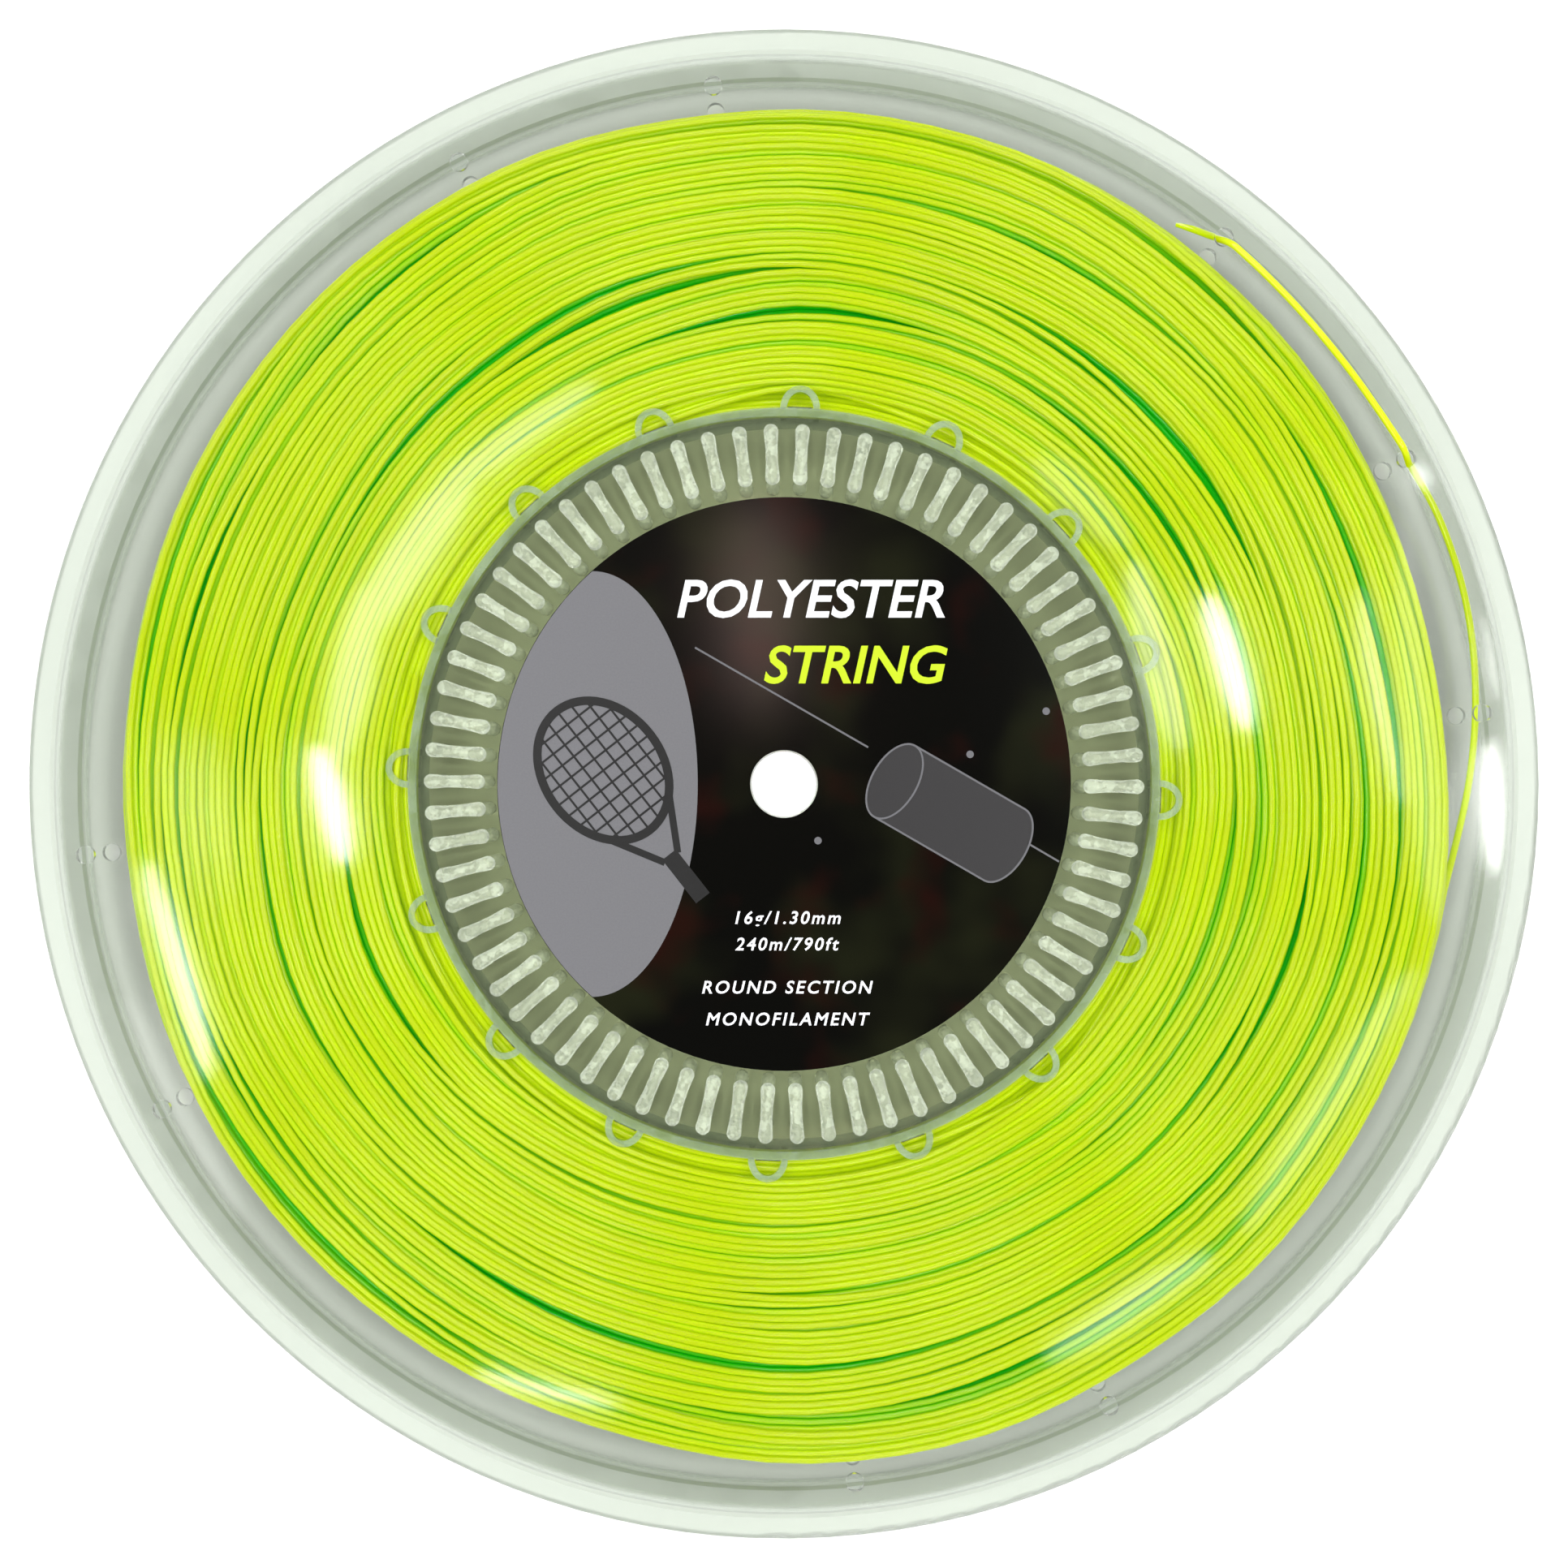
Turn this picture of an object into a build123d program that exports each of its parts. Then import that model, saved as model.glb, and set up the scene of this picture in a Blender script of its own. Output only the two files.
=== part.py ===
from build123d import *
import math
import os

# String reel, in millimetres. The reel lies flat: +Z is its spindle axis, towards the printed label,
# and the origin is on that axis, at the rear rim's lowest face.

# Driving dimensions
OUTER_RADIUS = 140.0        # rim of both flanges
FLANGE_THICK = 1.6          # wall of a flange
RIM_PROUD = 0.6             # the rim bead stands out of both faces of the flange by this much
RIM_WIDTH = 4.0
GAP = 15.4                  # clear width between the flanges, where the string lies
BORE_RADIUS = 6.25          # spindle bore
COLLAR_RADIUS = 8.75        # stiffening collar around the bore, inside the drum
COLLAR_HEIGHT = 3.0

DRUM_RADIUS = 70.0          # the string is wound on this
DRUM_WALL = 1.6
FLUTES = 16                 # sockets around each end of the drum
FLUTE_FIRST_ANGLE = 20.05   # degrees
FLUTE_DEPTH = 4.2           # how far a socket stands out of the drum
FLUTE_HALF_WIDTH = 3.7
FLUTE_WALL = 1.2
FLUTE_HEIGHT = 2.0          # along the axis, from each end of the drum
PEG_CLEARANCE = 0.15
PEG_HEIGHT = 1.6

RIBS = 70                   # raised grip ribs on the inner face of each flange, inside the drum
RIB_FIRST_ANGLE = 4.7
RIB_INNER_RADIUS = 55.5
RIB_OUTER_RADIUS = 67.1
RIB_WIDTH = 2.8             # near each end
RIB_WAIST = 2.3             # half way along
RIB_HEIGHT = 1.0            # near each end

HOLE_RADIUS = 1.7           # small holes that the string is threaded through
HOLE_CIRCLE_RADIUS = 130.3
HOLE_PAIR_ANGLES = (5.8, 27.6)
HOLE_PAIRS = 4
TAIL_ENTRY_ANGLE = 51.2     # one more hole, where the tail goes back in

LABEL_RADIUS = 53.2
LABEL_HOLE_RADIUS = 6.3
LABEL_THICK = 0.12

STRING_DIAMETER = 1.3
STRING_CLEARANCE = 0.15     # between the winding and the flanges or the drum
WINDING_EDGE_RADIUS = 124.0
WINDING_CROWN_RADIUS = 126.0

# Heights along the axis
REAR_OUTER = RIM_PROUD
REAR_INNER = REAR_OUTER + FLANGE_THICK
FRONT_INNER = REAR_INNER + GAP
FRONT_OUTER = FRONT_INNER + FLANGE_THICK
REEL_THICK = FRONT_OUTER + RIM_PROUD
MIDDLE = REEL_THICK / 2

# The tail's route as (angle in degrees, radius, height). It leaves the winding, comes out through
# one hole, crosses the front face, goes back in through the next hole and ends there.
TAIL_ROUTE = [
    (-8.98, 126.75, 9.4),
    (-4.57, 128.0, 9.6),
    (0.28, 129.9, 9.8),
    (5.56, 131.6, 10.1),
    (11.07, 133.0, 10.4),
    (16.54, 133.7, 10.9),
    (21.83, 133.4, 11.93),
    (25.13, 132.2, 13.8),
    (26.895, 131.0, 16.11),
    (28.305, 130.3, 20.69),
    (29.63, 130.1, 20.62),
    (32.05, 129.9, 20.4),
    (36.4, 129.8, 20.2),
    (42.3, 129.7, 20.2),
    (46.8, 129.7, 20.4),
    (49.17, 129.7, 20.62),
    (50.495, 129.75, 20.69),
    (51.905, 129.7, 16.11),
    (53.49, 129.3, 14.03),
    (54.99, 128.6, 13.1),
]


def polar(angle, radius, height=0.0):
    """The point at that angle in degrees around the axis, that far from it."""
    turn = math.radians(angle)
    return Vector(radius * math.cos(turn), radius * math.sin(turn), height)


def around(first, count, radius):
    """Places spaced evenly round the axis, each with its own X pointing outward."""
    step = 360 / count
    return [Rot(Z=first + step * i) * Pos(X=radius) for i in range(count)]


def turned(outline):
    """The solid that a closed outline of (radius, height) points makes when turned round the axis."""
    section = make_face(Polyline(*outline, close=True))
    return revolve(Plane.XZ * section, Axis.Z)


def hole_places():
    """The threading holes, in pairs every quarter turn, and the tail's own hole."""
    places = []
    for angle in HOLE_PAIR_ANGLES:
        places += around(angle, HOLE_PAIRS, HOLE_CIRCLE_RADIUS)
    return places + [Rot(Z=TAIL_ENTRY_ANGLE) * Pos(X=HOLE_CIRCLE_RADIUS)]


def flange_disc():
    """The rear flange's disc with its rim bead and the collar round its bore."""
    inside_rim = OUTER_RADIUS - RIM_WIDTH
    slope = RIM_PROUD
    outline = [
        (BORE_RADIUS, REAR_OUTER),
        (inside_rim - slope, REAR_OUTER),
        (inside_rim, 0),
        (OUTER_RADIUS, 0),
        (OUTER_RADIUS, REAR_INNER + RIM_PROUD),
        (inside_rim, REAR_INNER + RIM_PROUD),
        (inside_rim - slope, REAR_INNER),
        (COLLAR_RADIUS, REAR_INNER),
        (COLLAR_RADIUS, REAR_INNER + COLLAR_HEIGHT),
        (BORE_RADIUS, REAR_INNER + COLLAR_HEIGHT),
    ]
    disc = turned(outline)
    rim_corners = disc.edges().filter_by(GeomType.CIRCLE).filter_by(
        lambda edge: abs(edge.radius - OUTER_RADIUS) < 0.01
    )
    return fillet(rim_corners, 0.8)


def rib():
    """One grip rib, lying along X: a rounded pod with a slight waist, sunk into the flange."""
    half = (RIB_OUTER_RADIUS - RIB_INNER_RADIUS) / 2
    bulge = (RIB_HEIGHT + (RIB_WIDTH / 2) ** 2 / RIB_HEIGHT) / 2    # radius of a section that wide
    waist = bulge - (RIB_WIDTH - RIB_WAIST) / 2
    shoulder = half - bulge
    corner = bulge * math.sqrt(0.5)
    end = ThreePointArc((half, 0), (shoulder + corner, corner), (shoulder, bulge))
    start = ThreePointArc((-half, 0), (-shoulder - corner, corner), (-shoulder, bulge))
    side = ThreePointArc((-shoulder, bulge), (0, waist), (shoulder, bulge))
    pod = revolve(make_face(start + side + end + Line((half, 0), (-half, 0))), Axis.X)
    above = Pos(Z=RIB_HEIGHT - 0.1) * Box(3 * half, 3 * bulge, 2 * RIB_HEIGHT)
    return Pos(Z=RIB_HEIGHT - bulge) * pod & above


def flute_outline(shrink=0.0):
    """One socket's outline, a half ellipse that stands out of the drum along X."""
    whole = Ellipse(FLUTE_DEPTH - shrink, FLUTE_HALF_WIDTH - shrink)
    outside = Pos(X=FLUTE_DEPTH / 2) * Rectangle(FLUTE_DEPTH, 2 * FLUTE_HALF_WIDTH)
    return whole & outside


def peg():
    """One peg of a flange, which fits a socket of the drum."""
    outline = Pos(X=PEG_CLEARANCE) * flute_outline(FLUTE_WALL + 1.5 * PEG_CLEARANCE)
    return extrude(outline, PEG_HEIGHT)


def rear_flange():
    """A clear moulded disc with ribs, pegs, threading holes and the spindle bore."""
    rib_radius = (RIB_INNER_RADIUS + RIB_OUTER_RADIUS) / 2
    lift = Pos(Z=REAR_INNER)
    ribs = [lift * place * rib() for place in around(RIB_FIRST_ANGLE, RIBS, rib_radius)]
    pegs = [lift * place * peg() for place in around(FLUTE_FIRST_ANGLE, FLUTES, DRUM_RADIUS)]
    holes = [place * Cylinder(HOLE_RADIUS, 4 * REAR_INNER) for place in hole_places()]
    return flange_disc() + ribs + pegs - holes


def front_flange(rear):
    """The same moulding, turned to face the other way."""
    return rear.mirror(Plane.XY.offset(MIDDLE))


def hub_drum():
    """The wall that the string is wound on, with sockets for the pegs at both ends."""
    wall = Circle(DRUM_RADIUS) - Circle(DRUM_RADIUS - DRUM_WALL)
    drum = Pos(Z=REAR_INNER) * extrude(wall, GAP)
    socket = flute_outline() - flute_outline(FLUTE_WALL)
    places = around(FLUTE_FIRST_ANGLE, FLUTES, DRUM_RADIUS - 0.05)
    sockets = [place * extrude(socket, FLUTE_HEIGHT) for place in places]
    rear_sockets = [Pos(Z=REAR_INNER) * one for one in sockets]
    front_sockets = [Pos(Z=FRONT_INNER - FLUTE_HEIGHT) * one for one in sockets]
    return drum + rear_sockets + front_sockets


def string_winding():
    """The wound string as one plain body: it fills the gap and steps over the drum's sockets."""
    low = REAR_INNER + STRING_CLEARANCE
    high = FRONT_INNER - STRING_CLEARANCE
    on_drum = DRUM_RADIUS + STRING_CLEARANCE
    over_sockets = DRUM_RADIUS + FLUTE_DEPTH + STRING_CLEARANCE
    low_step = REAR_INNER + FLUTE_HEIGHT + STRING_CLEARANCE
    high_step = FRONT_INNER - FLUTE_HEIGHT - STRING_CLEARANCE
    inner = Polyline(
        (WINDING_EDGE_RADIUS, low),
        (over_sockets, low),
        (over_sockets, low_step),
        (on_drum, low_step),
        (on_drum, high_step),
        (over_sockets, high_step),
        (over_sockets, high),
        (WINDING_EDGE_RADIUS, high),
    )
    crown = ThreePointArc(
        (WINDING_EDGE_RADIUS, high),
        (WINDING_CROWN_RADIUS, MIDDLE),
        (WINDING_EDGE_RADIUS, low),
    )
    return revolve(Plane.XZ * make_face(inner + crown), Axis.Z)


def string_tail():
    """The string's free end as a round tube: straight runs joined by tangent arcs."""
    points = [polar(*place) for place in TAIL_ROUTE]
    runs = [after - before for before, after in zip(points, points[1:])]
    radii = []
    for before, after in zip(runs, runs[1:]):
        half_turn = math.radians(before.get_angle(after)) / 2
        shorter = min(before.length, after.length)
        radii.append(0.45 * shorter / math.tan(half_turn))
    print("tail runs ", [round(run.length, 1) for run in runs])
    print("tail radii", [round(radius, 1) for radius in radii])
    path = FilletPolyline(*points, radius=radii)
    section = Plane(origin=path @ 0, z_dir=path % 0) * Circle(STRING_DIAMETER / 2)
    tube = sweep(section, path)
    expected = math.pi * (STRING_DIAMETER / 2) ** 2 * path.length
    print(f"tail length {path.length:.1f}, volume {tube.volume:.1f}, section x length {expected:.1f}")
    return tube


def front_label():
    """The printed label on the front flange."""
    ring = Circle(LABEL_RADIUS) - Circle(LABEL_HOLE_RADIUS)
    return Pos(Z=FRONT_OUTER) * extrude(ring, LABEL_THICK)


def main():
    """Builds every sub-part and writes one STEP file for each."""
    os.makedirs("parts", exist_ok=True)
    rear = rear_flange()
    parts = {
        "rear_flange": rear,
        "front_flange": front_flange(rear),
        "hub_drum": hub_drum(),
        "string_winding": string_winding(),
        "string_tail": string_tail(),
        "front_label": front_label(),
    }
    for name, shape in parts.items():
        export_step(shape, f"parts/{name}.step")


main()
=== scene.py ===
# %% [markdown]
# # A reel of tennis string
#
# The real object is two clear moulded flanges, a clear drum between them, about 240 m of yellow-green
# string wound on the drum, and a printed label. The flanges, the drum and the label's disc come from the
# CAD frame and only need their materials. What Blender makes is the string itself, turn by turn, its
# free end and the print on the label. Everything is in metres, and the reel lies flat with +Z up.

# %% Load the frame
import math
import bpy
import numpy as np
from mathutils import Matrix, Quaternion, Vector


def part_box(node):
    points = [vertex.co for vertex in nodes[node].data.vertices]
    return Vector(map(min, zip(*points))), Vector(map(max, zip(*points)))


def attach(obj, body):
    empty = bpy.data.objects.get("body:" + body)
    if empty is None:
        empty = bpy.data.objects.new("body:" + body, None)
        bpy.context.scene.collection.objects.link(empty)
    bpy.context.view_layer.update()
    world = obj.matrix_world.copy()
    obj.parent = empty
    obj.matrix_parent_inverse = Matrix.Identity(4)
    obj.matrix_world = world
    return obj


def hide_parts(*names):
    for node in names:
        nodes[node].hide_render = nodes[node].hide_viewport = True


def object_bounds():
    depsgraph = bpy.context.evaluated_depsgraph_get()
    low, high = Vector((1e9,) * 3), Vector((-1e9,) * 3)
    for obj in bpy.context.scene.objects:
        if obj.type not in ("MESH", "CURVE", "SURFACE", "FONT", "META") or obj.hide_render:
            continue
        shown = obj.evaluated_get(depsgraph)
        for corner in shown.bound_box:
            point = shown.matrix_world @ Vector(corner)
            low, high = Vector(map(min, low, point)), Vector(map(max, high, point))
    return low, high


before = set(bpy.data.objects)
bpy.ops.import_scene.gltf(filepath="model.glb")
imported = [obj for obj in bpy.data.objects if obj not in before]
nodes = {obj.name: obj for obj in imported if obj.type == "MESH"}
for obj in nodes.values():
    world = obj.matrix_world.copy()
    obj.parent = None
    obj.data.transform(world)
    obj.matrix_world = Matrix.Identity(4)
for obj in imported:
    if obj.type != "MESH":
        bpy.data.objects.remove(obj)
cad_low, cad_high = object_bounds()
MM = 0.001
front_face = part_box("front_flange")[1].z
drum_low, drum_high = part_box("hub_drum")
label_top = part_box("front_label")[1].z
reel_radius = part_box("front_flange")[1].x
print("the reel is", round(2 * reel_radius, 3), "m across")
print("the drum spans", round(drum_high.z - drum_low.z, 4), "m")

# %% [markdown]
# ## Camera
#
# The reel is looked at from straight above, from about 0.42 m over the front rim. That close, the rear
# rim looks a little smaller than the front one, which shows how deep the reel is. A longer lens from
# further off would hide that, so the distance is set first and the lens then fills the frame.

# %% The camera over the reel
VIEW_DISTANCE = 0.42
FILL = 0.9643  # the share of the frame that the front rim fills

camera_data = bpy.data.cameras.new("camera")
camera = bpy.data.objects.new("camera", camera_data)
bpy.context.scene.collection.objects.link(camera)
camera.location = (0, 0, front_face + VIEW_DISTANCE)
camera_data.sensor_width = 36
camera_data.lens = camera_data.sensor_width / 2 * VIEW_DISTANCE * FILL / reel_radius
bpy.context.scene.camera = camera
print("lens", round(camera_data.lens, 1), "mm")

# %% [markdown]
# ## The string's free end
#
# The last stretch of the string leaves the winding inside the gap, rises, comes out through one small
# hole, lies across the front face, goes back in through the next hole and ends there, cut. It is a
# springy plastic line, so it is one smooth NURBS curve with a round bevel. A bent mesh tube would need
# many more points for the same smooth bends. The points are angle, radius and height.

# %% The free end as a curve
STRING_DIAMETER = 1.3 * MM
TAIL_ROUTE = [
    (-8.98, 0.12675, 0.0094),
    (-4.57, 0.1280, 0.0096),
    (0.28, 0.1299, 0.0098),
    (5.56, 0.1316, 0.0101),
    (11.07, 0.1330, 0.0104),
    (16.54, 0.1337, 0.0109),
    (21.83, 0.1334, 0.01193),
    (25.13, 0.1322, 0.0138),
    (26.895, 0.1310, 0.01611),
    (28.305, 0.1303, 0.02069),
    (29.63, 0.1301, 0.02062),
    (32.05, 0.1299, 0.0204),
    (36.4, 0.1298, 0.0202),
    (42.3, 0.1297, 0.0202),
    (46.8, 0.1297, 0.0204),
    (49.17, 0.1297, 0.02062),
    (50.495, 0.12975, 0.02069),
    (51.905, 0.1297, 0.01611),
    (53.49, 0.1293, 0.01403),
    (54.99, 0.1286, 0.0131),
]


def polar(angle, radius, height):
    """The point at that angle in degrees round the reel's axis."""
    turn = math.radians(angle)
    return Vector((radius * math.cos(turn), radius * math.sin(turn), height))


def round_curve(name, points, kind, sides):
    """A curve object through or near the points, with a round bevel as thick as the string."""
    data = bpy.data.curves.new(name, "CURVE")
    data.dimensions = "3D"
    spline = data.splines.new(kind)
    spline.points.add(len(points) - 1)
    spline.points.foreach_set("co", np.c_[points, np.ones(len(points))].ravel())
    data.bevel_depth = STRING_DIAMETER / 2
    data.bevel_resolution = sides // 2 - 2
    data.use_fill_caps = True
    curve = bpy.data.objects.new(name, data)
    bpy.context.scene.collection.objects.link(curve)
    return curve


def deselect_all():
    """Nothing selected, so that an operator only works on what is picked next."""
    for item in bpy.context.selected_objects:
        item.select_set(False)


def pick(item):
    """That object alone, selected and active."""
    deselect_all()
    item.select_set(True)
    bpy.context.view_layer.objects.active = item


def to_mesh(item):
    """Turns a curve or text into a mesh."""
    pick(item)
    bpy.ops.object.convert(target="MESH")
    return bpy.context.view_layer.objects.active


tail_points = [polar(*place) for place in TAIL_ROUTE]
tail = round_curve("string_tail_end", tail_points, "NURBS", 16)
tail_spline = tail.data.splines[0]
tail_spline.order_u = 3
tail_spline.use_endpoint_u = True
tail_spline.resolution_u = 8
tail_spline.use_smooth = True
print("tail with", len(TAIL_ROUTE), "control points")

# %% [markdown]
# The line that the curve follows is read from it once, with the bevel off, because the frame checks the
# string's length along that line. Then the tube becomes a mesh, and its far end is cut at a slant, as
# side cutters leave it. The cut is a bisect in edit mode, which also fills the new face.

# %% The free end as a tube with a slanted cut
CUT_SLANT = 2.0  # how much the cut leans back along the string

tail.data.bevel_depth = 0
bare_line = bpy.data.meshes.new_from_object(tail)
tail_path = [point.co.copy() for point in bare_line.vertices]
tail.data.bevel_depth = STRING_DIAMETER / 2
tail = to_mesh(tail)
along = (tail_path[-1] - tail_path[-4]).normalized()
outward = Vector((tail_path[-1].x, tail_path[-1].y, 0)).normalized()
cut_place = tail_path[-1] - along * (CUT_SLANT * STRING_DIAMETER / 2)
bpy.ops.object.mode_set(mode="EDIT")
bpy.ops.mesh.select_all(action="SELECT")
bpy.ops.mesh.bisect(
    plane_co=cut_place,
    plane_no=along + CUT_SLANT * outward,
    use_fill=True,
    clear_outer=True,
)
bpy.ops.object.mode_set(mode="OBJECT")
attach(tail, "root")
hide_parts("string_tail")
print("tail is", len(tail.data.polygons), "faces round", len(tail_path), "points")

# %% [markdown]
# ## The winding, turn by turn
#
# A winding machine lays the string side by side across the drum and back again, so each layer crosses
# the one below at a small angle. A ring with a striped texture would look right only from far away:
# what makes a real winding readable are strands that dive under others and the long thin gaps that
# they leave. So the winding is worked out the way the machine makes it.
#
# Each turn has a place across the drum. It rests on the highest thing under it, which is the drum, one
# of its sockets or an older turn, and it slides a little sideways into a groove when there is one.
# Because the string is pulled tight it can't dip between two bumps, so it bridges them.

# %% Where the guide lays each turn
STEPS = 96                      # points in one turn
DRUM_RADIUS = 70.0 * MM
SOCKETS = 16
SOCKET_FIRST_ANGLE = 20.05
SOCKET_DEPTH = 4.2 * MM
SOCKET_HALF_WIDTH = 3.7 * MM
SOCKET_HEIGHT = 2.0 * MM
WOUND_LENGTH = 239.85           # metres; the free end is the rest of the 240
PITCH = 1.6 * MM                # how far the guide moves in one turn
WANDER = 0.22 * MM              # how unsteady it is
SLIDE = 0.4 * MM                # how far a strand may settle sideways
STIFFNESS = 0.4                 # 0 is limp: it runs straight over a dip; 1 keeps a round turn
MOST_TURNS = 430
SHORT_SWING = 0.3               # turns that a quick waver of the guide takes
LONG_SWING = 2.5                # turns that a slow one takes
FLANGE_CLEARANCE = 0.05 * MM
TAIL_STEP = 51                  # the free end leaves after this many points of the last turn
START_ANGLE = TAIL_ROUTE[0][0] + 360 - (TAIL_STEP - 1) * 360 / STEPS

middle = (drum_low.z + drum_high.z) / 2
reach = (drum_high.z - drum_low.z) / 2 - STRING_DIAMETER / 2 - FLANGE_CLEARANCE
angles = START_ANGLE + np.arange(STEPS) * 360 / STEPS


def smooth_noise(count, period, size, random):
    """Random values that wander smoothly, with a new value each period."""
    knots = random.normal(0, size, int(count / period) + 2)
    place = np.arange(count) / period
    index = place.astype(int)
    part = place - index
    part = part * part * (3 - 2 * part)
    return knots[index] * (1 - part) + knots[index + 1] * part


def guide_places():
    """How far the guide is from the middle of the drum, for each point of each turn."""
    random = np.random.default_rng(7)
    turn = np.arange(MOST_TURNS * STEPS) / STEPS
    travel = 2 * reach / PITCH
    phase = turn % (2 * travel)
    place = np.where(phase < travel, reach - PITCH * phase, PITCH * (phase - travel) - reach)
    place += smooth_noise(len(turn), SHORT_SWING * STEPS, WANDER, random)
    place += smooth_noise(len(turn), LONG_SWING * STEPS, WANDER, random)
    return np.clip(place, -reach, reach)


guide = guide_places()
print("guide travels", round(2 * reach / MM, 1), "mm")

# %% [markdown]
# Two rules place a strand. `resting_radius` finds how high it lies on what is below. `pulled_tight`
# lifts every point to the line between its neighbours, over and over, which is what tension does. A
# straight line in polar form is where one over the radius is a cosine, hence the division. A stiff
# plastic line keeps some of its curve over a dip, so the angle in that cosine is made smaller.

# %% Rules for one turn
def socket_profile():
    """How far the drum's sockets stand out at each angle."""
    off = (angles - SOCKET_FIRST_ANGLE) % (360 / SOCKETS)
    off = np.minimum(off, 360 / SOCKETS - off)
    along = np.radians(off) * DRUM_RADIUS / SOCKET_HALF_WIDTH
    return SOCKET_DEPTH * np.sqrt(np.clip(1 - along**2, 0, 1))


def resting_radius(place, older_places, older_radii, bumps):
    """The radius of the strand's centre where it rests on the drum or on older turns."""
    over_socket = np.abs(place) > reach - SOCKET_HEIGHT + STRING_DIAMETER / 4
    radius = DRUM_RADIUS + STRING_DIAMETER / 2 + np.where(over_socket, bumps, 0)
    if len(older_places):
        aside = place - older_places
        rise = np.sqrt(np.clip(STRING_DIAMETER**2 - aside**2, 0, None))
        touching = np.abs(aside) < STRING_DIAMETER
        radius = np.maximum(radius, np.where(touching, older_radii + rise, 0).max(0))
    return radius


def pulled_tight(radius, rounds=40):
    """The same strand under tension: it bridges the dips."""
    inverse = 1 / radius
    share = 2 * math.cos((1 - STIFFNESS) * 2 * math.pi / STEPS)
    for _ in range(rounds):
        inverse[1:-1] = np.minimum(inverse[1:-1], (inverse[:-2] + inverse[2:]) / share)
    return 1 / inverse


def softened(values, width):
    """A running average over that many points each way."""
    weights = np.hanning(2 * width + 3)[1:-1]
    return np.convolve(values, weights / weights.sum(), mode="same")


print("sockets stand out", round(float(socket_profile().max()) / MM, 2), "mm")

# %% [markdown]
# The string is laid half a turn at a time, but each time a whole turn is worked out and its second half
# is thrown away. That way a strand already knows the bump that it is coming to, and there is no seam
# where one turn ends and the next begins. A strand tries a few places beside the guide's and takes the
# one where it lies lowest, and each bit of sliding counts a little against it. Only the last few dozen
# turns can touch the next one, so older ones are left out. The loop stops when the string is used up.

# %% Wind the string
SETTLING = 8                    # points each way over which a strand's sideways slide is spread
OLDER_TURNS = 60                # how many turns back a strand looks for something to rest on
PLACES_TRIED = 9
SLIDE_COST = 0.3                # how much lower a strand must come to lie for each bit that it slides


def wind():
    """Places and radii of all the points, until the whole length is on the drum."""
    bumps = np.tile(socket_profile(), 2)
    shifts = np.linspace(-SLIDE, SLIDE, PLACES_TRIED)
    places, radii, slides = np.zeros((3, MOST_TURNS * STEPS))
    half = STEPS // 2
    start = 0
    wound = 0.0
    while wound < WOUND_LENGTH:
        turns = min(OLDER_TURNS, start // STEPS)
        older = slice(start - turns * STEPS, start)
        below = places[older].reshape(turns, STEPS), radii[older].reshape(turns, STEPS)
        before = *below, bumps[start % STEPS :][:STEPS]
        ahead = guide[start : start + STEPS]
        tried = [np.clip(ahead + shift, -reach, reach) for shift in shifts]
        costs = [resting_radius(place, *before) for place in tried]
        costs = [cost + SLIDE_COST * abs(shift) for cost, shift in zip(costs, shifts)]
        slides[start : start + STEPS] = shifts[np.argmin(costs, axis=0)]
        lead = min(SETTLING, start)
        settled = softened(slides[start - lead : start + STEPS], SETTLING)[lead:]
        place = np.clip(ahead + settled, -reach, reach)
        resting = resting_radius(place, *before)
        last = radii[start - 1] if start else resting[0]
        radius = pulled_tight(np.r_[last, resting])[1:]
        places[start : start + half] = place[:half]
        radii[start : start + half] = radius[:half]
        wound += math.pi * radius[:half].mean()
        start += half
    widest = radii[:start].max() + STRING_DIAMETER / 2
    print(start // STEPS, "turns hold", round(wound, 1), "m, out to", round(widest / MM, 1), "mm")
    return places[:start], radii[:start]


laid_places, laid_radii = wind()

# %% [markdown]
# The first stretch starts beside the drum, and the last one has to run into the free end, so their
# radius and height are led there over a third of a turn or so. The whole line is then cut into pieces,
# each one a curve with a round bevel that is turned into a mesh, because a piece is kept under 200,000
# triangles.

# %% Strands as meshes
WINDING_PIECES = 5
LEAD_IN = 30                            # points over which the first stretch rises onto the drum
LEAD_OUT = 40                           # points over which the last one runs into the free end
START_PLACE = 71.6 * MM, 16.2 * MM      # the radius and height of the string's inner end
STRAND_SIDES = 8
EASING = 2                              # points each way over which small kinks are eased


def winding_line():
    """Every point of the wound string in order, ending where the free end starts."""
    end = (len(laid_places) - TAIL_STEP) // STEPS * STEPS + TAIL_STEP
    angle = np.radians(START_ANGLE + np.arange(end) * 360 / STEPS)
    radius = softened(laid_radii, EASING)[:end]
    height = middle + softened(laid_places, EASING)[:end]
    lead = np.linspace(1, 0, LEAD_IN) ** 2
    radius[:LEAD_IN] += lead * (START_PLACE[0] - radius[:LEAD_IN])
    height[:LEAD_IN] += lead * (START_PLACE[1] - height[:LEAD_IN])
    lead = np.linspace(0, 1, LEAD_OUT) ** 2
    radius[-LEAD_OUT:] += lead * (TAIL_ROUTE[0][1] - radius[-LEAD_OUT:])
    height[-LEAD_OUT:] += lead * (TAIL_ROUTE[0][2] - height[-LEAD_OUT:])
    return np.c_[radius * np.cos(angle), radius * np.sin(angle), height]


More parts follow.
